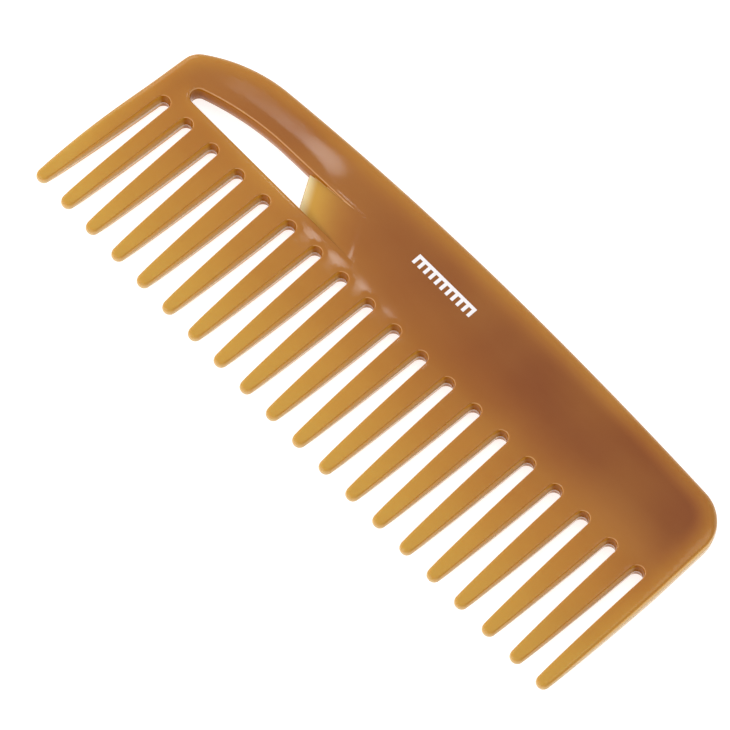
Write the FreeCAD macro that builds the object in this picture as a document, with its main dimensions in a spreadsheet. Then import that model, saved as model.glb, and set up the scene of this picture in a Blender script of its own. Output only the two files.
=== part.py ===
import FreeCAD, Part
import math
import os

import Sketcher
from FreeCAD import Placement, Rotation, Vector

# Wide tooth rake comb: one plastic moulding, split into its named regions, and one printed mark.
# The comb lies flat. +X runs along the row of teeth, away from the handle slot. +Y runs from the
# teeth to the back. +Z is the thickness. The origin is under the middle of the comb, on the
# surface it lies on. Each sub-part is drawn on the parting plane, at half the thickness.

# alias, value in millimetres or degrees, what it is
DIMENSIONS = (
    ("overall_length", 190.0, "square end to the outermost point of the first tooth"),
    ("overall_width", 68.4, "back to the longest tooth tip"),
    ("thickness", 6.6, "slab behind the teeth"),
    ("draft_angle", 7.0, "slope of every moulded wall, from the parting plane to each face"),
    ("edge_round", 2.3, "rounding of the outer edge"),
    ("tooth_count", 20, "teeth in the row"),
    ("tooth_pitch", 9.78, "spacing of the gaps after the first"),
    ("first_pitch", 8.6, "spacing of the first two gaps"),
    ("last_gap_inset", 6.9, "square end to the middle of the last gap"),
    ("gap_radius", 1.6, "round end of a gap, on the parting plane"),
    ("root_line", 4.35, "where the teeth leave the root bar"),
    ("root_overrun", 0.5, "extra length of a tooth outline, cut off flush at the root line"),
    ("tooth_length", 38.55, "root line to tip, on the longest tooth"),
    ("tip_sag", 1.3, "how much the shortest tooth is shorter than the longest"),
    ("tip_line_middle", 10.0, "where along the row the longest tooth would stand"),
    ("tip_radius", 1.9, "round end of a tooth, seen from above"),
    ("tip_thickness", 3.0, "thickness of a tooth where its round end starts"),
    ("fan_out", 1.9, "sideways lean of the first tooth's tip"),
    ("fan_decay", 0.42, "each tooth's lean over the one before it"),
    ("side_radius", 1100.0, "faint swell of a tooth's sides"),
    ("outer_side_radius", 400.0, "swell of the first tooth's outer side"),
    ("face_radius", 700.0, "faint swell of a tooth's faces"),
    ("first_edge", -93.85, "outer edge of the first tooth at the root line"),
    ("nose_start_across", -93.15, "where the slot end starts to curve, along the comb"),
    ("nose_start_up", 17.3, "where the slot end starts to curve, across the comb"),
    ("nose_small_radius", 6.2, "tight curve of the slot end"),
    ("nose_large_radius", 45.0, "wide curve from the slot end to the back"),
    ("back_top", 12.6, "widest place of the comb, along its length"),
    ("back_slot_radius", 930.0, "bow of the back over the slot"),
    ("back_end_radius", 1400.0, "bow of the back towards the square end"),
    ("corner_radius", 11.0, "corner of the square end"),
    ("corner_start", 94.65, "square end where its corner starts"),
    ("slot_low", 10.35, "straight side of the handle slot"),
    ("slot_low_end", -20.3, "end of the slot's straight side"),
    ("slot_high_end_across", -26.4, "end of the slot's bowed side, along the comb"),
    ("slot_high_end_up", 19.55, "end of the slot's bowed side, across the comb"),
    ("slot_bow_across", -56.4, "where the slot's bowed side starts to curve, along the comb"),
    ("slot_bow_up", 18.85, "where the slot's bowed side starts to curve, across the comb"),
    ("slot_bow_radius", 84.0, "curve of the slot's bowed side"),
    ("slot_end_radius", 1.9, "round narrow end of the slot"),
    ("ramp_slant", 31.8, "how far the thumb ramp's edges lean from square to the comb"),
    ("ramp_length", 18.9, "thin edge of the thumb ramp to its end on the face"),
    ("ramp_edge_across", -41.8, "thin edge of the ramp on the slot's straight side"),
    ("ramp_edge_thickness", 0.9, "thin edge of the ramp"),
    ("ramp_reach", 18.0, "more than the slot's height, measured along the ramp's edge"),
    ("post_width", 11.2, "slot end post, from the outside to the bow"),
    ("mark_across", -10.9, "printed mark, its end nearer the slot"),
    ("mark_up", 20.8, "printed mark, its lower side"),
    ("mark_length", 21.0, "printed mark along the comb"),
    ("mark_height", 3.0, "printed mark across the comb"),
    ("mark_bar", 0.9, "long bar of the mark"),
    ("mark_stroke", 0.95, "short strokes of the mark"),
    ("mark_strokes", 11, "short strokes in the mark"),
    ("ink_thickness", 0.05, "printed ink over the face"),
)

PARTS_FOLDER = "parts"
FIRST_POINT = 1
LAST_POINT = 2
CENTRE_POINT = 3
ORIGIN_GEOMETRY = -1

doc = FreeCAD.newDocument("WideToothComb")
sheet = doc.addObject("Spreadsheet::Sheet", "dims")
for row, (alias, value, meaning) in enumerate(DIMENSIONS, start=1):
    sheet.set(f"A{row}", alias)
    sheet.set(f"B{row}", str(value))
    sheet.set(f"C{row}", meaning)
    sheet.setAlias(f"B{row}", alias)
doc.recompute()
size = {alias: float(getattr(sheet, alias)) for alias, _, _ in DIMENSIONS}

half = "dims.thickness / 2"
FACE_GAP_RADIUS = f"dims.gap_radius + {half} * tan(dims.draft_angle)"
LAST_GAP = "dims.overall_length / 2 - dims.last_gap_inset"
SECOND_GAP = f"{LAST_GAP} - dims.tooth_pitch * (dims.tooth_count - 3)"
FIRST_GAP = f"{SECOND_GAP} - dims.first_pitch"


class Outline:
    """A closed chain of lines and anticlockwise arcs in one sketch, bound to the sheet."""

    def __init__(self, sketch):
        self.sketch = sketch

    def line(self, start, end):
        return self.sketch.addGeometry(Part.LineSegment(Vector(*start), Vector(*end)), False)

    def arc(self, centre, radius, start, end):
        """An anticlockwise arc whose ends point from its centre towards start and end."""
        first = math.atan2(start[1] - centre[1], start[0] - centre[0])
        last = math.atan2(end[1] - centre[1], end[0] - centre[0])
        circle = Part.Circle(Vector(*centre), Vector(0, 0, 1), radius)
        return self.sketch.addGeometry(Part.ArcOfCircle(circle, first, last), False)

    def meet(self, first, second):
        self.rule("Coincident", first, LAST_POINT, second, FIRST_POINT)

    def blend(self, first, second):
        self.rule("Tangent", first, LAST_POINT, second, FIRST_POINT)

    def rule(self, kind, *where):
        return self.sketch.addConstraint(Sketcher.Constraint(kind, *where))

    def across(self, item, point, value, expression):
        """Sets a point's distance from the origin along the sketch's first axis."""
        where = ("DistanceX", ORIGIN_GEOMETRY, FIRST_POINT, item, point, value)
        self.sketch.setExpression(f"Constraints[{self.rule(*where)}]", expression)

    def up(self, item, point, value, expression):
        """Sets a point's distance from the origin along the sketch's second axis."""
        where = ("DistanceY", ORIGIN_GEOMETRY, FIRST_POINT, item, point, value)
        self.sketch.setExpression(f"Constraints[{self.rule(*where)}]", expression)

    def radius(self, item, value, expression):
        self.sketch.setExpression(f"Constraints[{self.rule('Radius', item, value)}]", expression)


def crossing(first, first_radius, second, second_radius, side):
    """Where two circles cross, on the left (side 1) or right (side -1) of first to second."""
    apart = math.dist(first, second)
    along = (first_radius**2 - second_radius**2 + apart**2) / (2 * apart)
    off = side * math.sqrt(first_radius**2 - along**2)
    unit = ((second[0] - first[0]) / apart, (second[1] - first[1]) / apart)
    return first[0] + along * unit[0] - off * unit[1], first[1] + along * unit[1] + off * unit[0]


def touch(outer, inner):
    """A point beyond inner on the line from outer, where circles about the two touch."""
    return 2 * inner[0] - outer[0], 2 * inner[1] - outer[1]


def origin_plane(body, role):
    return next(item for item in body.Origin.OriginFeatures if item.Role == role)


def new_body(name):
    """A body whose own XY plane is the parting plane of the moulding."""
    body = doc.addObject("PartDesign::Body", name)
    body.setExpression("Placement.Base.z", half)
    return body


def body_sketch(body, name, role="XY_Plane"):
    sketch = body.newObject("Sketcher::SketchObject", name)
    sketch.AttachmentSupport = [(origin_plane(body, role), "")]
    sketch.MapMode = "FlatFace"
    return sketch


def draw_back_outline(sketch):
    """The comb's outline behind the root line."""
    root = size["root_line"]
    end = size["overall_length"] / 2
    back = size["overall_width"] / 2
    nose_start = (size["nose_start_across"], size["nose_start_up"])
    small = size["nose_small_radius"]
    large = size["nose_large_radius"]
    slot_bow = size["back_slot_radius"]
    end_bow = size["back_end_radius"]
    corner = size["corner_radius"]

    slot_bow_centre = (size["back_top"], back - slot_bow)
    end_bow_centre = (size["back_top"], back - end_bow)
    lean = math.atan2(nose_start[0] - size["first_edge"], nose_start[1] - root)
    small_centre = (
        nose_start[0] + small * math.cos(lean),
        nose_start[1] - small * math.sin(lean),
    )
    large_centre = crossing(slot_bow_centre, slot_bow - large, small_centre, large - small, -1)
    corner_across = size["corner_start"] - corner
    corner_up = end_bow_centre[1] + math.sqrt(
        (end_bow - corner) ** 2 - (corner_across - end_bow_centre[0]) ** 2
    )
    corner_centre = (corner_across, corner_up)
    corner_start = (size["corner_start"], corner_up)
    corner_end = touch(end_bow_centre, corner_centre)
    top = (size["back_top"], back)
    large_start = touch(slot_bow_centre, large_centre)
    small_start = touch(large_centre, small_centre)

    outline = Outline(sketch)
    root_side = outline.line((size["first_edge"], root), (end, root))
    end_side = outline.line((end, root), corner_start)
    corner_arc = outline.arc(corner_centre, corner, corner_start, corner_end)
    end_arc = outline.arc(end_bow_centre, end_bow, corner_end, top)
    slot_arc = outline.arc(slot_bow_centre, slot_bow, top, large_start)
    large_arc = outline.arc(large_centre, large, large_start, small_start)
    small_arc = outline.arc(small_centre, small, small_start, nose_start)
    slot_side = outline.line(nose_start, (size["first_edge"], root))

    outline.meet(root_side, end_side)
    outline.blend(end_side, corner_arc)
    outline.blend(corner_arc, end_arc)
    outline.blend(end_arc, slot_arc)
    outline.blend(slot_arc, large_arc)
    outline.blend(large_arc, small_arc)
    outline.blend(small_arc, slot_side)
    outline.meet(slot_side, root_side)
    outline.rule("Horizontal", root_side)
    outline.across(root_side, FIRST_POINT, size["first_edge"], "dims.first_edge")
    outline.up(root_side, FIRST_POINT, root, "dims.root_line")
    outline.across(root_side, LAST_POINT, end, "dims.overall_length / 2")
    outline.across(end_side, LAST_POINT, size["corner_start"], "dims.corner_start")
    outline.across(end_arc, CENTRE_POINT, size["back_top"], "dims.back_top")
    outline.across(end_arc, LAST_POINT, size["back_top"], "dims.back_top")
    outline.up(end_arc, LAST_POINT, back, "dims.overall_width / 2")
    outline.across(slot_side, FIRST_POINT, nose_start[0], "dims.nose_start_across")
    outline.up(slot_side, FIRST_POINT, nose_start[1], "dims.nose_start_up")
    outline.radius(corner_arc, corner, "dims.corner_radius")
    outline.radius(end_arc, end_bow, "dims.back_end_radius")
    outline.radius(slot_arc, slot_bow, "dims.back_slot_radius")
    outline.radius(large_arc, large, "dims.nose_large_radius")
    outline.radius(small_arc, small, "dims.nose_small_radius")


def outer_edges(shape):
    """The edges round both faces of the slab, apart from those on the root line."""
    names = []
    for number, edge in enumerate(shape.Edges, start=1):
        box = edge.BoundBox
        on_face = box.ZLength < 0.01
        on_root = box.YMax < size["root_line"] + 0.01
        if on_face and not on_root:
            names.append(f"Edge{number}")
    return names


def cut_gap_ends(body, name, gap, repeats):
    """Cuts the round, drafted end of one gap, or of a row of them, into both halves of the slab."""
    for side, turn in (("front", 0), ("rear", 180)):
        cone = body.newObject("PartDesign::SubtractiveCone", f"{name}_{side}")
        cone.AttachmentSupport = [(origin_plane(body, "XY_Plane"), "")]
        cone.MapMode = "FlatFace"
        cone.AttachmentOffset = Placement(Vector(), Rotation(Vector(1, 0, 0), turn))
        cone.setExpression("AttachmentOffset.Base.x", gap)
        cone.setExpression("AttachmentOffset.Base.y", "dims.root_line")
        cone.setExpression("Radius1", "dims.gap_radius")
        cone.setExpression("Radius2", FACE_GAP_RADIUS)
        cone.setExpression("Height", half)
        doc.recompute()
        if repeats:
            row = body.newObject("PartDesign::LinearPattern", f"{name}_{side}_row")
            row.Originals = [cone]
            row.Direction = (origin_plane(body, "X_Axis"), [""])
            row.Mode = "Spacing"
            row.setExpression("Offset", "dims.tooth_pitch")
            row.setExpression("Occurrences", repeats)
            body.Tip = row
            doc.recompute()


def make_slab():
    """The slab behind the teeth, with its rounded outer edge and the round ends of the gaps."""
    body = new_body("slab")
    sketch = body_sketch(body, "slab_outline")
    draw_back_outline(sketch)
    pad = body.newObject("PartDesign::Pad", "slab_pad")
    pad.Profile = sketch
    pad.SideType = "Symmetric"
    pad.setExpression("Length", "dims.thickness")
    doc.recompute()
    rounding = body.newObject("PartDesign::Fillet", "slab_rounding")
    rounding.Base = (pad, outer_edges(pad.Shape))
    rounding.setExpression("Radius", "dims.edge_round")
    doc.recompute()
    cut_gap_ends(body, "first_gap", FIRST_GAP, None)
    cut_gap_ends(body, "gap", SECOND_GAP, "dims.tooth_count - 2")
    return body


def drafted(sketch, name, slope):
    """Extrudes a sketch from the parting plane to both faces, opening or closing at the draft."""
    solid = doc.addObject("Part::Extrusion", name)
    solid.Base = sketch
    solid.DirMode = "Custom"
    solid.Dir = Vector(0, 0, 1)
    solid.Solid = True
    solid.setExpression("LengthFwd", half)
    solid.setExpression("LengthRev", half)
    solid.setExpression("TaperAngle", f"{slope} * dims.draft_angle")
    solid.setExpression("TaperAngleRev", f"{slope} * dims.draft_angle")
    return solid


def draw_slot_outline(sketch):
    """The handle slot with the thumb ramp's place, on the parting plane."""
    low = size["slot_low"]
    low_end = (size["slot_low_end"], low)
    high_end = (size["slot_high_end_across"], size["slot_high_end_up"])
    bow_start = (size["slot_bow_across"], size["slot_bow_up"])
    bow = size["slot_bow_radius"]
    small = size["slot_end_radius"]
    slope = math.atan2(high_end[1] - bow_start[1], high_end[0] - bow_start[0])
    bow_centre = (
        bow_start[0] + bow * math.sin(slope),
        bow_start[1] - bow * math.cos(slope),
    )
    small_up = low + small
    small_across = bow_centre[0] - math.sqrt((bow - small) ** 2 - (small_up - bow_centre[1]) ** 2)
    small_centre = (small_across, small_up)
    small_start = touch(bow_centre, small_centre)
    low_start = (small_across, low)

    outline = Outline(sketch)
    low_side = outline.line(low_start, low_end)
    ramp_side = outline.line(low_end, high_end)
    high_side = outline.line(high_end, bow_start)
    bow_arc = outline.arc(bow_centre, bow, bow_start, small_start)
    small_arc = outline.arc(small_centre, small, small_start, low_start)

    outline.meet(low_side, ramp_side)
    outline.meet(ramp_side, high_side)
    outline.blend(high_side, bow_arc)
    outline.blend(bow_arc, small_arc)
    outline.blend(small_arc, low_side)
    outline.rule("Horizontal", low_side)
    outline.across(low_side, LAST_POINT, low_end[0], "dims.slot_low_end")
    outline.up(low_side, LAST_POINT, low, "dims.slot_low")
    outline.across(high_side, FIRST_POINT, high_end[0], "dims.slot_high_end_across")
    outline.up(high_side, FIRST_POINT, high_end[1], "dims.slot_high_end_up")
    outline.across(high_side, LAST_POINT, bow_start[0], "dims.slot_bow_across")
    outline.up(high_side, LAST_POINT, bow_start[1], "dims.slot_bow_up")
    outline.radius(bow_arc, bow, "dims.slot_bow_radius")
    outline.radius(small_arc, small, "dims.slot_end_radius")


def make_slot_form():
    """The space of the slot and its ramp, as the mould's core fills it."""
    sketch = doc.addObject("Sketcher::SketchObject", "slot_outline")
    sketch.setExpression("Placement.Base.z", half)
    draw_slot_outline(sketch)
    doc.recompute()
    return drafted(sketch, "slot_form", "1")


def make_ramp_form():
    """A wedge, thin at the open slot and full thickness where the ramp runs out on the faces."""
    wedge = doc.addObject("Part::Wedge", "ramp_form")
    wedge.setExpression("Xmin", "-dims.ramp_reach")
    wedge.setExpression("X2min", "-dims.ramp_reach")
    wedge.setExpression("Xmax", "dims.ramp_reach")
    wedge.setExpression("X2max", "dims.ramp_reach")
    wedge.Ymin = 0
    wedge.setExpression("Ymax", "dims.ramp_length")
    wedge.setExpression("Zmin", "-dims.ramp_edge_thickness / 2")
    wedge.setExpression("Zmax", "dims.ramp_edge_thickness / 2")
    wedge.setExpression("Z2min", f"-{half}")
    wedge.setExpression("Z2max", half)
    wedge.Placement = Placement(Vector(), Rotation(Vector(0, 0, -1), 90 - size["ramp_slant"]))
    wedge.setExpression("Placement.Rotation.Angle", "90 - dims.ramp_slant")
    wedge.setExpression("Placement.Base.x", "dims.ramp_edge_across")
    wedge.setExpression("Placement.Base.y", "dims.slot_low")
    wedge.setExpression("Placement.Base.z", half)
    return wedge


def join(kind, name, base, tool):
    result = doc.addObject(f"Part::{kind}", name)
    result.Base = base
    result.Tool = tool
    return result


def region(name, source, left, right, low, high):
    """The part of a solid between two lines across the comb and two along it."""
    box = doc.addObject("Part::Box", f"{name}_bounds")
    box.setExpression("Length", f"({right}) - ({left})")
    box.setExpression("Width", f"({high}) - ({low})")
    box.setExpression("Height", "dims.thickness")
    box.setExpression("Placement.Base.x", left)
    box.setExpression("Placement.Base.y", low)
    return join("Common", name, source, box)


def make_slab_regions():
    """The slab as its root bar, slot end post, bow and spine, and the ramp in the slot."""
    slot = make_slot_form()
    open_slab = join("Cut", "open_slab", make_slab(), slot)
    end = "dims.overall_length / 2"
    back = "dims.overall_width / 2"
    post = f"-{end} + dims.post_width"
    split = f"dims.slot_low - {half} * tan(dims.draft_angle)"
    spine = "dims.slot_high_end_across"
    return [
        region("root_bar", open_slab, f"-{end}", end, "dims.root_line", split),
        region("slot_end_post", open_slab, f"-{end}", post, split, back),
        region("handle_bow", open_slab, post, spine, split, back),
        region("spine", open_slab, spine, end, split, back),
        join("Common", "thumb_ramp", make_ramp_form(), slot),
    ]


def gap_middle(number):
    """The middle of a gap along the row, as an expression. Gap 1 follows tooth 1."""
    if number == 1:
        return FIRST_GAP
    return f"({SECOND_GAP} + dims.tooth_pitch * {number - 2})"


def draw_tooth_plan(sketch, tooth):
    """A tooth from above, on the parting plane, with its root line at the sketch's axis."""
    over = size["root_overrun"]
    root = tooth["root_width"] / 2
    tip = size["tip_radius"]
    tip_centre = (tooth["lean"], tip - tooth["length"])
    tip_left = (tip_centre[0] - tip, tip_centre[1])
    tip_right = (tip_centre[0] + tip, tip_centre[1])

    def side_centre(start, end, radius):
        """The centre of an anticlockwise arc from start to end."""
        return crossing(start, radius, end, radius, 1)

    left_radius = size[tooth["left_side"]]
    right_radius = size[tooth["right_side"]]
    outline = Outline(sketch)
    root_side = outline.line((root, over), (-root, over))
    left_centre = side_centre((-root, over), tip_left, left_radius)
    left = outline.arc(left_centre, left_radius, (-root, over), tip_left)
    tip_arc = outline.arc(tip_centre, tip, tip_left, tip_right)
    right_centre = side_centre(tip_right, (root, over), right_radius)
    right = outline.arc(right_centre, right_radius, tip_right, (root, over))

    outline.meet(root_side, left)
    outline.meet(left, tip_arc)
    outline.meet(tip_arc, right)
    outline.meet(right, root_side)
    outline.rule("Horizontal", root_side)
    outline.across(root_side, FIRST_POINT, root, f"({tooth['root_width_rule']}) / 2")
    outline.up(root_side, FIRST_POINT, over, "dims.root_overrun")
    outline.across(root_side, LAST_POINT, -root, f"-({tooth['root_width_rule']}) / 2")
    outline.across(tip_arc, CENTRE_POINT, tip_centre[0], tooth["lean_rule"])
    tip_rule = f"dims.tip_radius - ({tooth['length_rule']})"
    outline.up(tip_arc, CENTRE_POINT, tip_centre[1], tip_rule)
    outline.rule("Horizontal", tip_arc, FIRST_POINT, tip_arc, CENTRE_POINT)
    outline.rule("Horizontal", tip_arc, LAST_POINT, tip_arc, CENTRE_POINT)
    outline.radius(tip_arc, tip, "dims.tip_radius")
    outline.radius(left, left_radius, f"dims.{tooth['left_side']}")
    outline.radius(right, right_radius, f"dims.{tooth['right_side']}")


def draw_tooth_profile(sketch, tooth):
    """A tooth from the side. The sketch's first axis runs away from the tip."""
    root = size["thickness"] / 2
    tip = size["tip_thickness"] / 2
    faces = size["face_radius"]
    tip_centre = (tip - tooth["length"], 0)
    tip_top = (tip_centre[0], tip)
    tip_bottom = (tip_centre[0], -tip)

    outline = Outline(sketch)
    root_side = outline.line((0, -root), (0, root))
    top_centre = crossing((0, root), faces, tip_top, faces, 1)
    top = outline.arc(top_centre, faces, (0, root), tip_top)
    tip_arc = outline.arc(tip_centre, tip, tip_top, tip_bottom)
    bottom_centre = crossing(tip_bottom, faces, (0, -root), faces, 1)
    bottom = outline.arc(bottom_centre, faces, tip_bottom, (0, -root))

    outline.meet(root_side, top)
    outline.meet(top, tip_arc)
    outline.meet(tip_arc, bottom)
    outline.meet(bottom, root_side)
    outline.rule("Vertical", root_side)
    outline.across(root_side, FIRST_POINT, 0, "0")
    outline.up(root_side, FIRST_POINT, -root, f"-{half}")
    outline.up(root_side, LAST_POINT, root, half)
    tip_rule = f"dims.tip_thickness / 2 - ({tooth['length_rule']})"
    outline.across(tip_arc, CENTRE_POINT, tip_centre[0], tip_rule)
    outline.up(tip_arc, CENTRE_POINT, 0, "0")
    outline.rule("Vertical", tip_arc, FIRST_POINT, tip_arc, CENTRE_POINT)
    outline.rule("Vertical", tip_arc, LAST_POINT, tip_arc, CENTRE_POINT)
    outline.radius(tip_arc, tip, "dims.tip_thickness / 2")
    outline.radius(top, faces, "dims.face_radius")
    outline.radius(bottom, faces, "dims.face_radius")


def worked_out(expression):
    """The value of an expression of the sheet, for a sketch's first guess."""
    return float(sheet.evalExpression(expression.replace("dims.", "")))


def tooth_rules(number):
    """Where one tooth stands and how wide, long and leaning it is."""
    count = int(size["tooth_count"])
    left = f"{gap_middle(number - 1)} + dims.gap_radius" if number > 1 else "dims.first_edge"
    right = f"{gap_middle(number)} - dims.gap_radius" if number < count else "dims.overall_length / 2"
    middle = f"(({left}) + ({right})) / 2"
    along = f"(({middle}) - dims.tip_line_middle)"
    reach = "(dims.overall_length / 2 + dims.tip_line_middle)"
    width_rule = f"({right}) - ({left})"
    length_rule = f"dims.tooth_length - dims.tip_sag * ({along} / {reach}) ^ 2"
    lean_rule = f"-dims.fan_out * dims.fan_decay ^ {number - 1}"
    return {
        "name": f"tooth_{number:02d}",
        "middle_rule": middle,
        "root_width_rule": width_rule,
        "length_rule": length_rule,
        "lean_rule": lean_rule,
        "root_width": worked_out(width_rule),
        "length": worked_out(length_rule),
        "lean": worked_out(lean_rule),
        "left_side": "outer_side_radius" if number == 1 else "side_radius",
        "right_side": "side_radius",
    }


def make_tooth(number):
    """One tooth: its drafted outline, cut to its side profile."""
    tooth = tooth_rules(number)
    plan = doc.addObject("Sketcher::SketchObject", f"{tooth['name']}_outline")
    plan.setExpression("Placement.Base.x", tooth["middle_rule"])
    plan.setExpression("Placement.Base.y", "dims.root_line")
    plan.setExpression("Placement.Base.z", half)
    draw_tooth_plan(plan, tooth)

    side = doc.addObject("Sketcher::SketchObject", f"{tooth['name']}_profile")
    side.Placement = Placement(Vector(), Rotation(Vector(0, 1, 0), Vector(0, 0, 1), Vector(1, 0, 0)))
    side.setExpression("Placement.Base.x", tooth["middle_rule"])
    side.setExpression("Placement.Base.y", "dims.root_line")
    side.setExpression("Placement.Base.z", half)
    draw_tooth_profile(side, tooth)
    doc.recompute()

    thickness = doc.addObject("Part::Extrusion", f"{tooth['name']}_thickness")
    thickness.Base = side
    thickness.DirMode = "Custom"
    thickness.Dir = Vector(1, 0, 0)
    thickness.Solid = True
    thickness.Symmetric = True
    thickness.setExpression("LengthFwd", "2 * dims.tooth_pitch")
    blank = drafted(plan, f"{tooth['name']}_blank", "-1")
    return join("Common", tooth["name"], blank, thickness)


def rectangle(sketch, corner_rules, size_rules):
    """An upright rectangle bound to the sheet by its low corner and its size."""
    left, low = (worked_out(rule) for rule in corner_rules)
    wide, tall = (worked_out(rule) for rule in size_rules)
    outline = Outline(sketch)
    corners = ((left, low), (left + wide, low), (left + wide, low + tall), (left, low + tall))
    sides = [outline.line(corners[i], corners[(i + 1) % 4]) for i in range(4)]
    for i in range(4):
        outline.meet(sides[i], sides[(i + 1) % 4])
        outline.rule("Vertical" if i % 2 else "Horizontal", sides[i])
    outline.across(sides[0], FIRST_POINT, left, corner_rules[0])
    outline.up(sides[0], FIRST_POINT, low, corner_rules[1])
    outline.across(sides[1], LAST_POINT, left + wide, f"{corner_rules[0]} + {size_rules[0]}")
    outline.up(sides[1], LAST_POINT, low + tall, f"{corner_rules[1]} + {size_rules[1]}")


def ink_pad(body, sketch, name):
    pad = body.newObject("PartDesign::Pad", name)
    pad.Profile = sketch
    pad.setExpression("Length", "dims.ink_thickness")
    doc.recompute()
    return pad


def make_printed_mark():
    """A plain printed sign of a comb: one long bar with a row of short strokes."""
    body = doc.addObject("PartDesign::Body", "printed_mark")
    body.setExpression("Placement.Base.z", "dims.thickness")
    bar = body_sketch(body, "mark_bar")
    bar_low = "dims.mark_up + dims.mark_height - dims.mark_bar"
    rectangle(bar, ("dims.mark_across", bar_low), ("dims.mark_length", "dims.mark_bar"))
    ink_pad(body, bar, "mark_bar_ink")
    stroke = body_sketch(body, "mark_stroke")
    stroke_size = ("dims.mark_stroke", "dims.mark_height")
    rectangle(stroke, ("dims.mark_across", "dims.mark_up"), stroke_size)
    first = ink_pad(body, stroke, "mark_stroke_ink")
    row = body.newObject("PartDesign::LinearPattern", "mark_strokes")
    row.Originals = [first]
    row.Direction = (origin_plane(body, "X_Axis"), [""])
    row.setExpression("Length", "dims.mark_length - dims.mark_stroke")
    row.setExpression("Occurrences", "dims.mark_strokes")
    body.Tip = row
    doc.recompute()
    return body


def check_document():
    """Stops if anything in the document failed to build."""
    for item in doc.Objects:
        if "Invalid" in item.State or "Error" in item.State:
            raise RuntimeError(f"{item.Name} failed: {item.State}")


def check_shape(item):
    """Stops if a sub-part isn't one sound solid."""
    shape = item.Shape
    if shape.isNull() or not shape.isValid() or len(shape.Solids) != 1:
        raise RuntimeError(f"{item.Name} isn't one valid solid")


sub_parts = make_slab_regions()
sub_parts += [make_tooth(number) for number in range(1, int(size["tooth_count"]) + 1)]
sub_parts.append(make_printed_mark())
for sub_part in sub_parts:
    sub_part.Label = sub_part.Name
doc.recompute()
check_document()
for sub_part in sub_parts:
    check_shape(sub_part)
os.makedirs(PARTS_FOLDER, exist_ok=True)
for sub_part in sub_parts:
    sub_part.Shape.exportStep(os.path.join(PARTS_FOLDER, f"{sub_part.Label}.step"))
    box = sub_part.Shape.BoundBox
    print(f"{sub_part.Label}: {sub_part.Shape.Volume:.1f} mm3, X {box.XMin:.2f} to {box.XMax:.2f},"
          f" Y {box.YMin:.2f} to {box.YMax:.2f}, Z {box.ZMin:.2f} to {box.ZMax:.2f}")
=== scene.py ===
import math

import bmesh
import bpy
import numpy as np
from mathutils import Matrix, Vector
from mathutils.geometry import delaunay_2d_cdt


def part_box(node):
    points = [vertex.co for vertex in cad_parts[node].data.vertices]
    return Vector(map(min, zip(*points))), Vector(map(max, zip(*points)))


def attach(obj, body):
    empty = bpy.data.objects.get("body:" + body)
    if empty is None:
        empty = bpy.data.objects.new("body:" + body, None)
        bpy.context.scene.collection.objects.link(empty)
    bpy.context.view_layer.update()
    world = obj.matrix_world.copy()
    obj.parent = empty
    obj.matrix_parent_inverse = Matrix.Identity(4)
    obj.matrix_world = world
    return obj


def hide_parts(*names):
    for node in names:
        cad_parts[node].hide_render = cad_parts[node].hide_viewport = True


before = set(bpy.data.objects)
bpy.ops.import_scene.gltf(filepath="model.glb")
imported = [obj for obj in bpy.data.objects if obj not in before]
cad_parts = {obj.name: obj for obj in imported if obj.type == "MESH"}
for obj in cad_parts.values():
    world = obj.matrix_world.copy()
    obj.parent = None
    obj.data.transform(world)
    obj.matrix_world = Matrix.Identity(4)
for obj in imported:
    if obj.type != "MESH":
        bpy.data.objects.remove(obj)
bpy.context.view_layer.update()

# Lengths in the moulding's functions are in millimetres, in the frame's own axes.
# Heights there are measured from the parting plane, at half the comb's thickness.
MM = 0.001
TOOTH_COUNT = 20
DRAFT = math.radians(7.0)

# The teeth: round tips, faintly swelling sides and faces, and a fan at the slot end.
TIP_RADIUS = 1.9
TIP_HALF_THICKNESS = 1.5
TAPER_BEND = 4.5
FACE_SWELL = 0.22
FAN_OUT = 1.9
FAN_DECAY = 0.42
SIDE_SWELL_RADIUS = 1100.0
OUTER_SWELL_RADIUS = 400.0

# The back, from the nose at the slot end to the corner at the square end.
NOSE_START = (-93.15, 17.3)
NOSE_SMALL_RADIUS = 6.2
NOSE_LARGE_RADIUS = 45.0
BACK_TOP = 12.6
BACK_SLOT_RADIUS = 930.0
BACK_END_RADIUS = 1400.0
CORNER_RADIUS = 11.0
CORNER_START = 94.65

# The slot and the thumb ramp at its end.
SLOT_LOW = 10.35
SLOT_LOW_END = -20.3
SLOT_HIGH_END = (-26.4, 19.55)
SLOT_BOW_START = (-56.4, 18.85)
SLOT_BOW_RADIUS = 84.0
SLOT_END_RADIUS = 1.9
RAMP_EDGE = -41.8
RAMP_SLANT = math.radians(31.8)
RAMP_REACH = 18.3
RAMP_EASE = 2.0
RAMP_HALF_EDGE = 0.45

# The rounding of the edges between walls and faces, and the parting line that stands out of a wall.
BACK_EDGE_ROUND = 2.5
SIDE_EDGE_ROUND = 1.0
END_EDGE_ROUND = 0.9
WALL_EDGE_ROUND = 0.42
SLOT_EDGE_ROUND = WALL_EDGE_ROUND + 0.18
TIP_EDGE_ROUND = 1.05
FLASH = 0.035
FLASH_RISE = 1.6 * FLASH

# The faces fall away a little near the edges: how far in and how deep, at levels up the comb.
CROWN_LEVELS = (-4.0, 3.0, 9.0, 17.0)
CROWN_REACHES = (2.2, 1.3, 1.3, 3.8)
CROWN_DROPS = (0.08, 0.03, 0.03, 0.18)

# How far apart an outline's points are.
BOW_STEP = 1.2
SIDE_STEP = 0.8
CORNER_STEP = 0.5
NOSE_STEP = 0.4
TOOTH_STEP = 0.9
TIP_STEP = 0.22
GAP_STEP = 0.25
SLOT_STEP = 0.5
SLOT_END_STEP = 0.2

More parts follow.
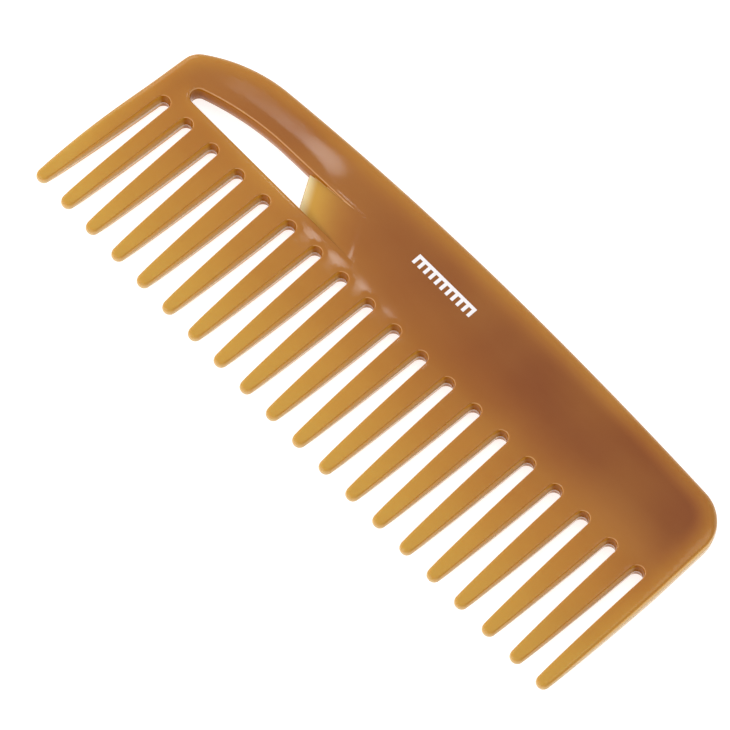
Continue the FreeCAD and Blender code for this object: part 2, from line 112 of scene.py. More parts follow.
# The mesh of the face: how far out from the slot and up from the ramp's edge it follows a line, and
# how far apart its other points are. Points nearer than the last two lengths are joined, within the
# face and at the parting plane.
SLOT_BENDS = (0.0, 0.12, 0.24, 0.34, 0.4, 0.47, 0.55, 0.65, 0.78, 0.95)
RAMP_BENDS = (0.0, 0.03, 0.1, 0.2, 0.32, 0.45)
RAMP_LINE_STEP = 0.45
RAMP_LINE_POINTS = 30
GRID_STEP = 1.3
FINE_STEP = 0.5
FACE_JOIN = 4e-3
SEAM_JOIN = 5e-4

EDGE_STEPS = 6
POINTS_AT_ONCE = 4000


def box_mm(node):
    low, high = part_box(node)
    return np.array(low) / MM, np.array(high) / MM


ROOT_LOW, ROOT_HIGH = box_mm("root_bar")
HALF = (ROOT_HIGH[2] - ROOT_LOW[2]) / 2
ROOT_LINE = ROOT_LOW[1]
FIRST_EDGE = ROOT_LOW[0]
END = ROOT_HIGH[0]
BACK = box_mm("spine")[1][1]
TEETH = [box_mm(f"tooth_{n:02d}") for n in range(1, TOOTH_COUNT + 1)]
PITCH = TEETH[11][0][0] - TEETH[10][0][0]
GAP_RADIUS = (TEETH[19][0][0] - TEETH[18][1][0]) / 2
LAST_GAP = TEETH[18][1][0] + GAP_RADIUS
GAPS = [LAST_GAP - PITCH * (TOOTH_COUNT - 1 - n) for n in range(1, TOOTH_COUNT)]
GAPS[0] = TEETH[0][1][0] + GAP_RADIUS


def smooth(low, high, value):
    """0 below low, 1 above high and an even S-curve between."""
    part = np.clip((value - low) / (high - low), 0.0, 1.0)
    return part * part * (3 - 2 * part)


# ---------------------------------------------------------------- outlines

def crossing(first, first_radius, second, second_radius, side):
    """Where two circles cross, left (side 1) or right (side -1) of first to second."""
    apart = math.dist(first, second)
    along = (first_radius**2 - second_radius**2 + apart**2) / (2 * apart)
    off = side * math.sqrt(first_radius**2 - along**2)
    unit = ((second[0] - first[0]) / apart, (second[1] - first[1]) / apart)
    return first[0] + along * unit[0] - off * unit[1], first[1] + along * unit[1] + off * unit[0]


def line_points(start, end, step):
    """Points from start up to, but not including, end."""
    count = max(1, math.ceil(math.dist(start, end) / step))
    return [
        (start[0] + (end[0] - start[0]) * i / count, start[1] + (end[1] - start[1]) * i / count)
        for i in range(count)
    ]


def arc_points(centre, start, end, step, clockwise=False):
    """Points round an arc from start up to, but not including, end."""
    radius = math.dist(centre, start)
    first = math.atan2(start[1] - centre[1], start[0] - centre[0])
    last = math.atan2(end[1] - centre[1], end[0] - centre[0])
    turn = (last - first) % (2 * math.pi)
    if clockwise:
        turn -= 2 * math.pi
    count = max(2, math.ceil(abs(turn) * radius / step))
    angles = [first + turn * i / count for i in range(count)]
    return [(centre[0] + radius * math.cos(a), centre[1] + radius * math.sin(a)) for a in angles]


def swelling_points(start, end, radius, step):
    """Points along a side that swells a little to its right, as an anticlockwise arc."""
    return arc_points(crossing(start, radius, end, radius, 1), start, end, step)


def touch(outer, inner, inner_radius):
    """Where a small circle touches the larger one round it."""
    apart = math.dist(outer, inner)
    return (
        inner[0] + (inner[0] - outer[0]) / apart * inner_radius,
        inner[1] + (inner[1] - outer[1]) / apart * inner_radius,
    )


def back_points():
    """The slab's outline from the square end over the back to the slot end."""
    slot_bow = (BACK_TOP, BACK - BACK_SLOT_RADIUS)
    end_bow = (BACK_TOP, BACK - BACK_END_RADIUS)
    lean = math.atan2(NOSE_START[0] - FIRST_EDGE, NOSE_START[1] - ROOT_LINE)
    small = (
        NOSE_START[0] + NOSE_SMALL_RADIUS * math.cos(lean),
        NOSE_START[1] - NOSE_SMALL_RADIUS * math.sin(lean),
    )
    large_reach = NOSE_LARGE_RADIUS - NOSE_SMALL_RADIUS
    large = crossing(slot_bow, BACK_SLOT_RADIUS - NOSE_LARGE_RADIUS, small, large_reach, -1)
    corner_across = CORNER_START - CORNER_RADIUS
    corner_reach = BACK_END_RADIUS - CORNER_RADIUS
    corner_up = end_bow[1] + math.sqrt(corner_reach**2 - (corner_across - end_bow[0]) ** 2)
    corner = (corner_across, corner_up)
    corner_start = (CORNER_START, corner_up)
    corner_end = touch(end_bow, corner, CORNER_RADIUS)
    top = (BACK_TOP, BACK)
    large_start = touch(slot_bow, large, NOSE_LARGE_RADIUS)
    small_start = touch(large, small, NOSE_SMALL_RADIUS)
    points = line_points((END, ROOT_LINE), corner_start, SIDE_STEP)
    points += arc_points(corner, corner_start, corner_end, CORNER_STEP)
    points += arc_points(end_bow, corner_end, top, BOW_STEP)
    points += arc_points(slot_bow, top, large_start, BOW_STEP)
    points += arc_points(large, large_start, small_start, SIDE_STEP)
    points += arc_points(small, small_start, NOSE_START, NOSE_STEP)
    points += line_points(NOSE_START, (FIRST_EDGE, ROOT_LINE), SIDE_STEP)
    return points


def tooth_points(number):
    """One tooth's outline, down its side nearer the slot end, round its tip and up again."""
    left = FIRST_EDGE if number == 1 else GAPS[number - 2] + GAP_RADIUS
    right = END if number == TOOTH_COUNT else GAPS[number - 1] - GAP_RADIUS
    tip_across = (left + right) / 2 - FAN_OUT * FAN_DECAY ** (number - 1)
    tip = (tip_across, TEETH[number - 1][0][1] + TIP_RADIUS)
    tip_left = (tip[0] - TIP_RADIUS, tip[1])
    tip_right = (tip[0] + TIP_RADIUS, tip[1])
    outer = OUTER_SWELL_RADIUS if number == 1 else SIDE_SWELL_RADIUS
    points = swelling_points((left, ROOT_LINE), tip_left, outer, TOOTH_STEP)
    points += arc_points(tip, tip_left, tip_right, TIP_STEP)
    points += swelling_points(tip_right, (right, ROOT_LINE), SIDE_SWELL_RADIUS, TOOTH_STEP)
    return points


def outer_outline():
    """The whole moulding's outer outline on the parting plane, anticlockwise."""
    points = back_points()
    for number in range(1, TOOTH_COUNT + 1):
        points += tooth_points(number)
        if number < TOOTH_COUNT:
            gap = (GAPS[number - 1], ROOT_LINE)
            left = (gap[0] - GAP_RADIUS, ROOT_LINE)
            right = (gap[0] + GAP_RADIUS, ROOT_LINE)
            points += arc_points(gap, left, right, GAP_STEP, clockwise=True)
    return np.array(points)


def slot_outline():
    """The handle slot with the ramp's place on the parting plane, anticlockwise."""
    rise = SLOT_HIGH_END[1] - SLOT_BOW_START[1]
    slope = math.atan2(rise, SLOT_HIGH_END[0] - SLOT_BOW_START[0])
    bow = (
        SLOT_BOW_START[0] + SLOT_BOW_RADIUS * math.sin(slope),
        SLOT_BOW_START[1] - SLOT_BOW_RADIUS * math.cos(slope),
    )
    small_up = SLOT_LOW + SLOT_END_RADIUS
    small_reach = SLOT_BOW_RADIUS - SLOT_END_RADIUS
    small = (bow[0] - math.sqrt(small_reach**2 - (small_up - bow[1]) ** 2), small_up)
    small_start = touch(bow, small, SLOT_END_RADIUS)
    low_start = (small[0], SLOT_LOW)
    low_end = (SLOT_LOW_END, SLOT_LOW)
    points = line_points(low_start, low_end, SLOT_STEP)
    points += line_points(low_end, SLOT_HIGH_END, SLOT_STEP)
    points += line_points(SLOT_HIGH_END, SLOT_BOW_START, SLOT_STEP)
    points += arc_points(bow, SLOT_BOW_START, small_start, SLOT_STEP)
    points += arc_points(small, small_start, low_start, SLOT_END_STEP)
    return np.array(points)


def inward(points):
    """Unit normals on the left of a closed chain of points."""
    ahead = np.roll(points, -1, axis=0) - points
    ahead /= np.linalg.norm(ahead, axis=1)[:, None]
    behind = np.roll(ahead, 1, axis=0)
    along = ahead + behind
    along /= np.linalg.norm(along, axis=1)[:, None]
    return np.stack([-along[:, 1], along[:, 0]], axis=1)


def distance_to(points, chain, closed=True):
    """Each point's distance to the nearest straight piece of a chain."""
    start = chain if closed else chain[:-1]
    step = (np.roll(chain, -1, axis=0) if closed else chain[1:]) - start
    length = (step**2).sum(1)
    best = np.full(len(points), np.inf)
    for low in range(0, len(points), POINTS_AT_ONCE):
        part = points[low:low + POINTS_AT_ONCE]
        gap = part[:, None, :] - start[None]
        along = np.clip((gap * step[None]).sum(2) / length, 0, 1)
        away = gap - along[..., None] * step[None]
        best[low:low + POINTS_AT_ONCE] = np.sqrt((away**2).sum(2).min(1))
    return best


def inside(points, chain):
    """Which points a closed chain holds."""
    held = np.zeros(len(points), bool)
    after = np.roll(chain, -1, axis=0)
    for (x0, y0), (x1, y1) in zip(chain, after):
        if y0 == y1:
            continue
        spans = (y0 > points[:, 1]) != (y1 > points[:, 1])
        crosses = x0 + (points[:, 1] - y0) * (x1 - x0) / (y1 - y0)
        held ^= spans & (points[:, 0] < crosses)
    return held


# ---------------------------------------------------------------- heights

def tooth_taper(up):
    """Half the thickness at a height up the comb: level behind the teeth, thinning to the tips."""
    tip = -BACK + TIP_HALF_THICKNESS
    slope = (HALF - TIP_HALF_THICKNESS) / (ROOT_LINE - tip)
    below = np.maximum(0.0, ROOT_LINE + TAPER_BEND - up)
    bent = np.where(below < 2 * TAPER_BEND, below**2 / (4 * TAPER_BEND), below - TAPER_BEND)
    swell = FACE_SWELL * np.sin(np.pi * np.clip((ROOT_LINE - up) / (ROOT_LINE - tip), 0, 1))
    return HALF - slope * bent + swell


def crown_reach(up):
    """How far in from an edge the face falls away, and by how much at most."""
    return np.interp(up, CROWN_LEVELS, CROWN_REACHES), np.interp(up, CROWN_LEVELS, CROWN_DROPS)


def crown(inset, up):
    """How far below the level face the surface is, at a distance in from the edge."""
    reach, drop = crown_reach(up)
    return drop * np.clip(1 - inset / reach, 0, None) ** 2


def edge_rings(points, normals, edge_round, draft):
    """Rings of points up the drafted wall and round the edge onto the face.

    The face is taken as a slope where the round edge meets it, and the edge touches that slope.
    """
    up = points[:, 1]
    level = tooth_taper(up)
    reach, drop = crown_reach(up)
    taper = (tooth_taper(up + 0.1) - tooth_taper(up - 0.1)) / 0.2 * normals[:, 1]
    guess = edge_round + 0.3
    face_slope = 2 * drop / reach * np.clip(1 - guess / reach, 0, None) + taper
    lean = np.arctan(face_slope)
    face_foot = level - crown(guess, up) - guess * face_slope + guess * taper
    sin, cos = np.sin(draft), np.cos(draft)
    wall = face_foot + edge_round * (cos * face_slope + sin - 1 / np.cos(lean))
    wall /= cos - sin * face_slope
    centre_in = wall * sin + edge_round * cos
    centre_up = wall * cos - edge_round * sin
    plane = np.zeros(len(points))
    rings = [(plane - FLASH, plane), (plane, plane + FLASH_RISE)]
    rings.append((0.5 * wall * sin, 0.5 * wall * cos))
    for step in range(EDGE_STEPS + 1):
        turn = draft + (math.pi / 2 - lean - draft) * step / EDGE_STEPS
        rings.append((centre_in - edge_round * np.cos(turn), centre_up + edge_round * np.sin(turn)))
    return [(points + normals * inset[:, None], height) for inset, height in rings]


def evened(values, times):
    """A closed chain's values, each averaged with its neighbours a number of times."""
    for _ in range(times):
        values = (np.roll(values, 1) + 2 * values + np.roll(values, -1)) / 4
    return values


def outer_edge_values(points):
    """The edge radius and draft at each point: full on the back, small between the teeth."""
    up = points[:, 1]
    outside = (up > ROOT_LINE + 4) | (points[:, 0] < FIRST_EDGE + 0.6)
    outside |= points[:, 0] > (GAPS[-1] + END) / 2 + 1.5
    back = smooth(-20.0, ROOT_LINE + 6, up)
    outer_round = SIDE_EDGE_ROUND + (BACK_EDGE_ROUND - SIDE_EDGE_ROUND) * back
    square_end = smooth(END - 3.5, END - 0.5, points[:, 0])
    outer_round += (END_EDGE_ROUND - outer_round) * square_end
    values = evened(WALL_EDGE_ROUND + outside * (outer_round - WALL_EDGE_ROUND), 3)
    tips = np.array([low[1] for low, high in TEETH])
    middles = np.array([(low[0] + high[0]) / 2 for low, high in TEETH])
    nearest = np.abs(points[:, 0][:, None] - middles[None]).argmin(1)
    at_tip = 1 - smooth(0.6, 5.5, up - tips[nearest])
    values = values + at_tip * (TIP_EDGE_ROUND - np.minimum(values, TIP_EDGE_ROUND))
    drafts = evened(np.where(outside & (up > -30), 0.35 * DRAFT, DRAFT), 6)
    return np.minimum(values, 0.9 * tooth_taper(up)), drafts


SLOT = slot_outline()
RAMP_FOOT = np.array([RAMP_EDGE, SLOT_LOW])
RAMP_ACROSS = np.array([math.cos(RAMP_SLANT), math.sin(RAMP_SLANT)])
RAMP_ALONG = np.array([math.sin(RAMP_SLANT), -math.cos(RAMP_SLANT)])


def up_ramp(points):
    """Distance from the ramp's thin edge towards the spine, negative over the open slot."""
    return (points - RAMP_FOOT) @ RAMP_ACROSS


def ramp_height(climb):
    """The ramp's surface: a thin round edge, a hollow climb and a soft shoulder on the face."""
    share = np.clip(climb / RAMP_REACH, 0, 1)
    rise = 1 - (1 - share) ** RAMP_EASE
    height = RAMP_HALF_EDGE + (HALF - RAMP_HALF_EDGE) * rise
    rounding = np.sqrt(np.clip(1 - (1 - np.clip(climb / RAMP_HALF_EDGE, 0, 1)) ** 2, 0, 1))
    return height * np.where(climb <= 1e-3, 0, rounding)


def slot_wall_height(away, points):
    """The slot's drafted wall and round edge, by distance from its outline into the plastic.

    Only the bow falls away towards the slot; the root bar's side and the ramp's shoulder stay flat.
    """
    up = points[:, 1]
    on_bow = (1 - smooth(-4.0, 5.0, up_ramp(points))) * smooth(11.0, 13.5, up)
    level = HALF - crown(away, up) * on_bow
    radius = SLOT_EDGE_ROUND
    sin, cos, tan = math.sin(DRAFT), math.cos(DRAFT), math.tan(DRAFT)
    touch_up = level - radius + radius * sin
    centre_in = touch_up * tan + radius * cos
    wall = away / tan
    span = np.clip(centre_in - away, 0, radius)
    rounded = level - radius + np.sqrt(radius**2 - span**2)
    return np.where(away <= touch_up * tan, wall, np.where(away < centre_in, rounded, level))


def face_height(points, edge_distance):
    """The front face's height over the parting plane, with the slot and its ramp.

    Only the points in a box round the slot are measured from it.
    """
    up = points[:, 1]
    near = (points[:, 0] < -8) & (up > 6) & (up < 30)
    height = tooth_taper(up) - crown(edge_distance, up)
    round_slot = points[near]
    away = distance_to(round_slot, SLOT)
    away = np.where(inside(round_slot, SLOT), -away, away)
    ramp = ramp_height(up_ramp(round_slot))
    slot = np.maximum(ramp, slot_wall_height(away, round_slot))
    height[near] = np.minimum(height[near], slot)
    return height


# ---------------------------------------------------------------- the moulding's mesh

def slot_chains():
    """Chains that the slot's walls and ramp bend along, for the face's triangles to follow."""
    out = -inward(SLOT)
    chains = [(SLOT + out * away, True) for away in SLOT_BENDS]
    low = SLOT_LOW - 1.2
    for climb in RAMP_BENDS:
        foot = RAMP_FOOT + RAMP_ACROSS * climb
        start = foot + RAMP_ALONG * (foot[1] - low) / -RAMP_ALONG[1]
        steps = range(RAMP_LINE_POINTS)
        chains.append((np.array([start - RAMP_ALONG * RAMP_LINE_STEP * i for i in steps]), False))
    foot_in = ramp_height(np.maximum(up_ramp(SLOT), 0)) * math.tan(DRAFT)
    on_ramp = up_ramp(SLOT) > 0
    feet = SLOT + out * foot_in[:, None]
    low_side = on_ramp & (SLOT[:, 1] < SLOT_LOW + 0.01)
    high_side = on_ramp & (SLOT[:, 1] > SLOT_HIGH_END[1] - 0.8)
    return chains + [(feet[low_side], False), (feet[high_side], False)]


def grid_points(edge):
    """Points to fill the face with, apart from its edge, and closer together over the ramp."""
    low, high = edge.min(0), edge.max(0)
    columns, rows = np.arange(low[0], high[0], GRID_STEP), np.arange(low[1], high[1], GRID_STEP)
    across, up = np.meshgrid(columns, rows)
    across[1::2] += GRID_STEP / 2
    points = np.stack([across.ravel(), up.ravel()], axis=1)
    across, up = np.meshgrid(np.arange(-52, -16, FINE_STEP), np.arange(9.5, 20.5, FINE_STEP))
    fine = np.stack([across.ravel(), up.ravel()], axis=1)
    points = points[distance_to(points, SLOT) > 0.6]
    points = np.concatenate([points, fine[distance_to(fine, SLOT) > 0.35]])
    points = points[inside(points, edge)]
    return points[distance_to(points, edge) > 0.5]


def face_triangles(edge):
    """The face inside the last edge ring, with the open slot left out."""
    points = [Vector(p) for p in edge]
    count = len(points)
    joins = [(i, (i + 1) % count) for i in range(count)]
    for chain, closed in slot_chains():
        first = len(points)
        points += [Vector(p) for p in chain]
        size = len(chain)
        joins += [(first + i, first + (i + 1) % size) for i in range(size if closed else size - 1)]
    points += [Vector(p) for p in grid_points(edge)]
    made, _, faces, origin, _, _ = delaunay_2d_cdt(points, joins, [], 0, FACE_JOIN)
    made = np.array([tuple(p) for p in made])
    faces = np.array([f for f in faces if len(f) == 3])
    middle = made[faces].mean(1)
    keep = inside(middle, edge)
    keep &= ~(inside(middle, SLOT) & (up_ramp(middle) < 0))
    edge_index = {}
    for index, sources in enumerate(origin):
        for source in sources:
            if source < count:
                edge_index[source] = index
    return made, faces[keep], [edge_index[i] for i in range(count)]


def front_half():
    """Points and faces of the moulding's front half, open at the parting plane."""
    outline = outer_outline()
    normals = inward(outline)
    rounds, drafts = outer_edge_values(outline)
    rings = edge_rings(outline, normals, rounds, drafts)
    edge, edge_heights = rings[-1]
    made, faces, edge_index = face_triangles(edge)
    insets = distance_to(made, outline)
    heights = face_height(made, insets)
    heights[edge_index] = edge_heights
    size = len(outline)
    points = [np.column_stack(ring) for ring in rings[:-1]]
    points = np.concatenate(points + [np.column_stack([made, heights])])
    first_face_point = size * (len(rings) - 1)
    chains = [np.arange(size) + k * size for k in range(len(rings) - 1)]
    chains.append(np.array(edge_index) + first_face_point)
    quads = []
    for low, high in zip(chains[:-1], chains[1:]):
        quads.append(np.column_stack([low, np.roll(low, -1), np.roll(high, -1), high]))
    front = [tuple(q) for q in np.concatenate(quads)]
    front += [tuple(t) for t in faces + first_face_point]
    return points, front


# ---------------------------------------------------------------- how much plastic lies round a point, and the painted light and shade

MAP_STEP = 0.5
MAP_MARGIN = 20.0
MAP_LOW = np.array([-END - MAP_MARGIN, -BACK - MAP_MARGIN])
TEETH_SPREAD = 9.0
BACK_SPREAD = 3.1
# Painted light: the first of these makes the colour lighter towards the slot end; the second deepens it
# everywhere.
SLOT_END_PAINTED_LIGHT = 0.085
DEEPER = 0.03


def plastic_map(outline):
    """1 where the moulding is and 0 elsewhere, on a square grid seen from above."""
    across = np.arange(MAP_LOW[0], END + MAP_MARGIN, MAP_STEP)
    up = np.arange(MAP_LOW[1], BACK + MAP_MARGIN, MAP_STEP)
    grid = np.stack(np.meshgrid(across, up), axis=2)
    flat = grid.reshape(-1, 2)
    filled = inside(flat, outline) & ~(inside(flat, SLOT) & (up_ramp(flat) < 0))
    return filled.reshape(grid.shape[:2]).astype(float)


def blurred(picture, spread, axes=(0, 1)):
    """A map smoothed by a Gaussian of the given spread, its edge values carried on outside."""
    reach = math.ceil(3 * spread / MAP_STEP)
    offsets = np.arange(-reach, reach + 1) * MAP_STEP
    weights = np.exp(-0.5 * (offsets / spread) ** 2)
    weights /= weights.sum()
    for axis in axes:
        edges = [(reach, reach) if axis == other else (0, 0) for other in (0, 1)]
        picture = np.pad(picture, edges, mode="edge")
        picture = np.apply_along_axis(np.convolve, axis, picture, weights, "valid")
    return picture


def read_map(picture, points):
    """The map's value at each point, between its grid points."""
    place = (points - MAP_LOW) / MAP_STEP
    limit = np.array(picture.shape[::-1]) - 2
    cell = np.clip(np.floor(place).astype(int), 0, limit)
    part = np.clip(place - cell, 0, 1)
    x, y = cell[:, 0], cell[:, 1]
    low = picture[y, x] * (1 - part[:, 0]) + picture[y, x + 1] * part[:, 0]
    high = picture[y + 1, x] * (1 - part[:, 0]) + picture[y + 1, x + 1] * part[:, 0]
    return low * (1 - part[:, 1]) + high * part[:, 1]


def plastic_round(outline, points):
    """How much plastic is round each point, from 0 in the open to 1 in the middle of the spine.

    Among the teeth the share of plastic only changes up the comb. For the root bar the slot counts as
    open, and for the bow as filled. The value is then lowered towards the slot end, a painted lighting
    gradient that makes the colour lighter there, and raised a little everywhere for a deeper colour.
    """
    picture = plastic_map(outline)
    rows = MAP_LOW[1] + MAP_STEP * np.arange(picture.shape[0])
    columns = MAP_LOW[0] + MAP_STEP * np.arange(picture.shape[1])
    among_teeth = (columns > GAPS[9]) & (columns < GAPS[17])
    share = picture[:, among_teeth].mean(1)
    share[rows > ROOT_LINE + 8] = 1.0
    gaps = (rows[:, None] < ROOT_LINE + 3) & ((columns > FIRST_EDGE) & (columns < END))[None]
    open_slot = np.where(gaps, 1.0, picture)
    whole = open_slot.copy()
    flat = np.stack(np.meshgrid(columns, rows), axis=2).reshape(-1, 2)
    whole[inside(flat, SLOT).reshape(whole.shape)] = 1.0
    broad = blurred(share[:, None], TEETH_SPREAD, axes=(0,))[:, 0]
    above = smooth(9.0, 15.0, points[:, 1])
    edges = (1 - above) * read_map(blurred(open_slot, BACK_SPREAD), points)
    edges += above * read_map(blurred(whole, BACK_SPREAD), points)
    # Painted light: lighter towards the slot end, where more light falls, and a little deeper
    # everywhere.
    lighter = SLOT_END_PAINTED_LIGHT * (1 - smooth(-50.0, 70.0, points[:, 0])) - DEEPER
    return np.interp(points[:, 1], rows, broad) * edges - lighter


def plastic_behind(points, outward):
    """How solid the plastic is behind a wall, up to 1 in the gap ends and the slot's upper wall. The
    walls take painted shade by it.
    """
    solid = smooth(0.1, 0.7, -outward[:, 1])
    solid += 0.4 * smooth(0.2, 0.7, outward[:, 1])
    slot_end = (points[:, 0] < SLOT_LOW_END) & (points[:, 1] > ROOT_LINE + 4)
    solid = np.maximum(solid, slot_end * smooth(0.2, 0.7, outward[:, 0]))
    return solid * smooth(-12.0, 0.0, points[:, 1])


def add_plastic_attributes(piece, outline):
    """Stores how much plastic surrounds each vertex, and how much lies behind a wall, for the colour
    and its painted light and shade.
    """
    mesh = piece.data
    count = len(mesh.vertices)
    places = np.empty(count * 3)
    normals = np.empty(count * 3)
    mesh.vertices.foreach_get("co", places)
    mesh.vertices.foreach_get("normal", normals)
    places = places.reshape(-1, 3)[:, :2] / MM
    normals = normals.reshape(-1, 3)
    level = np.linalg.norm(normals[:, :2], axis=1)
    outward = normals[:, :2] / np.maximum(level, 1e-6)[:, None]
    values = {
        "surround": plastic_round(outline, places),
        "behind": plastic_behind(places, outward) * smooth(0.25, 0.6, level),
    }
    for name, value in values.items():
        attribute = mesh.attributes.new(name, "FLOAT", "POINT")
        attribute.data.foreach_set("value", value)


def add_mesh(name, points, faces):
    mesh = bpy.data.meshes.new(name)
    mesh.from_pydata([tuple(p) for p in points], [], faces)
    piece = bpy.data.objects.new(name, mesh)
    bpy.context.scene.collection.objects.link(piece)
    return piece


def make_moulding():
    """One closed mesh: the front half and its mirror image, joined at the parting plane."""
    points, front = front_half()
    count = len(points)
    rear = points * np.array([1, 1, -1])
    faces = front + [tuple(i + count for i in reversed(f)) for f in front]
    both = np.concatenate([points, rear])
    both[:, 2] += HALF
    piece = add_mesh("comb_moulding", both * MM, faces)
    work = bmesh.new()
    work.from_mesh(piece.data)
    bmesh.ops.remove_doubles(work, verts=work.verts, dist=SEAM_JOIN * MM)
    loose = [v for v in work.verts if not v.link_faces]
    bmesh.ops.delete(work, geom=loose, context="VERTS")
    bmesh.ops.recalc_face_normals(work, faces=work.faces)
    work.to_mesh(piece.data)
    work.free()
    for polygon in piece.data.polygons:
        polygon.use_smooth = True
    add_plastic_attributes(piece, outer_outline())
    return piece


moulding = make_moulding()
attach(moulding, "root")
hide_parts(*[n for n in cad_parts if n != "printed_mark"])


# ---------------------------------------------------------------- materials

def srgb(red, green, blue):
    """A display colour from 0 to 255 as linear light."""
    parts = [value / 255 for value in (red, green, blue)]
    return [v / 12.92 if v <= 0.04045 else ((v + 0.055) / 1.055) ** 2.4 for v in parts] + [1.0]


class Nodes:
    """Adds and joins a material's nodes."""

    def __init__(self, name):
        self.material = bpy.data.materials.new(name)
        self.material.use_nodes = True
        self.tree = self.material.node_tree
        self.shader = self.tree.nodes["Principled BSDF"]

    def add(self, kind, inputs=None, **settings):
        node = self.tree.nodes.new(kind)
        for key, value in settings.items():
            setattr(node, key, value)
        for key, value in (inputs or {}).items():
            self.put(node.inputs[key], value)
        return node

    def put(self, socket, value):
        if isinstance(value, bpy.types.NodeSocket):
            self.tree.links.new(value, socket)
        else:
            socket.default_value = value

    def set(self, **values):
        for key, value in values.items():
            self.put(self.shader.inputs[key.replace("_", " ")], value)

    def math(self, operation, first, second=0.0, third=0.0):
        node = self.add("ShaderNodeMath", {0: first, 1: second, 2: third}, operation=operation)
        return node.outputs[0]

    def spread(self, value, low, high, to_low=0.0, to_high=1.0):
        inputs = {"Value": value, "From Min": low, "From Max": high}
        inputs.update({"To Min": to_low, "To Max": to_high})
        node = self.add("ShaderNodeMapRange", inputs, interpolation_type="SMOOTHSTEP")
        return node.outputs["Result"]

    def mix(self, share, first, second, blend="MIX"):
        inputs = {0: share, 6: first, 7: second}
        node = self.add("ShaderNodeMix", inputs, data_type="RGBA", blend_type=blend)
        return node.outputs[2]

    def noise(self, place, scale, detail=3.0, stretch=(1, 1, 1), roughness=0.5):
        mapping = self.add("ShaderNodeMapping", {"Vector": place, "Scale": stretch})
        inputs = {"Vector": mapping.outputs[0], "Scale": scale}
        inputs.update({"Detail": detail, "Roughness": roughness})
        return self.add("ShaderNodeTexNoise", inputs).outputs["Fac"]

    def ramp(self, value, stops):
        node = self.add("ShaderNodeValToRGB", {"Fac": value})
        elements = node.color_ramp.elements
        while len(elements) < len(stops):
            elements.new(0.5)
        for element, (place, colour) in zip(elements, stops):
            element.position = place
            element.color = colour
        return node.outputs["Color"]

    def attribute(self, name):
        return self.add("ShaderNodeAttribute", attribute_name=name).outputs["Fac"]


# The amber's colour by how much plastic lies round a point: little at a tip, all of it in the spine.
# It is partly the amber's own colour, deeper where it is thick, and partly painted light shining
# through thin plastic.
BODY_COLOURS = [
    (0.24, srgb(190, 145, 64)),
    (0.40, srgb(184, 131, 53)),
    (0.56, srgb(177, 121, 50)),
    (0.70, srgb(170, 112, 47)),
    (0.82, srgb(161, 103, 44)),
    (0.92, srgb(150, 91, 43)),
    (1.00, srgb(132, 74, 38)),
]
# Thin plastic turns gold, then pale: partly the amber's own paler colour where thin, partly painted
# light glowing through it.
THIN_COLOUR = srgb(224, 208, 160)
GOLD_COLOUR = srgb(194, 148, 64)
# Wall colours: amber by the face, paling towards the parting line with painted light from the white
# floor below.
WALL_LIGHT = srgb(204, 150, 58)
WALL_FOOT_LIT = srgb(202, 170, 120)
# Painted shade for walls with solid plastic behind them.
WALL_SHADE = srgb(162, 97, 10)
# On the edge rounds: a painted dark line of shade, and a painted highlight at the gap ends and slot.
EDGE_SHADE = srgb(166, 106, 34)
EDGE_GLEAM = srgb(216, 168, 116)
WORN = srgb(214, 172, 96)
FLOW_TINT = srgb(214, 150, 62)
CLOUD_TINT = srgb(235, 170, 70)

# How far light goes in the plastic, in metres, and the shares of that for red, green and blue.
SCATTER_REACH = 0.002
SCATTER_SHARES = (1.0, 0.62, 0.36)

INK = srgb(240, 236, 238)
THIN_INK = srgb(222, 212, 208)
WORN_INK = srgb(188, 140, 96)


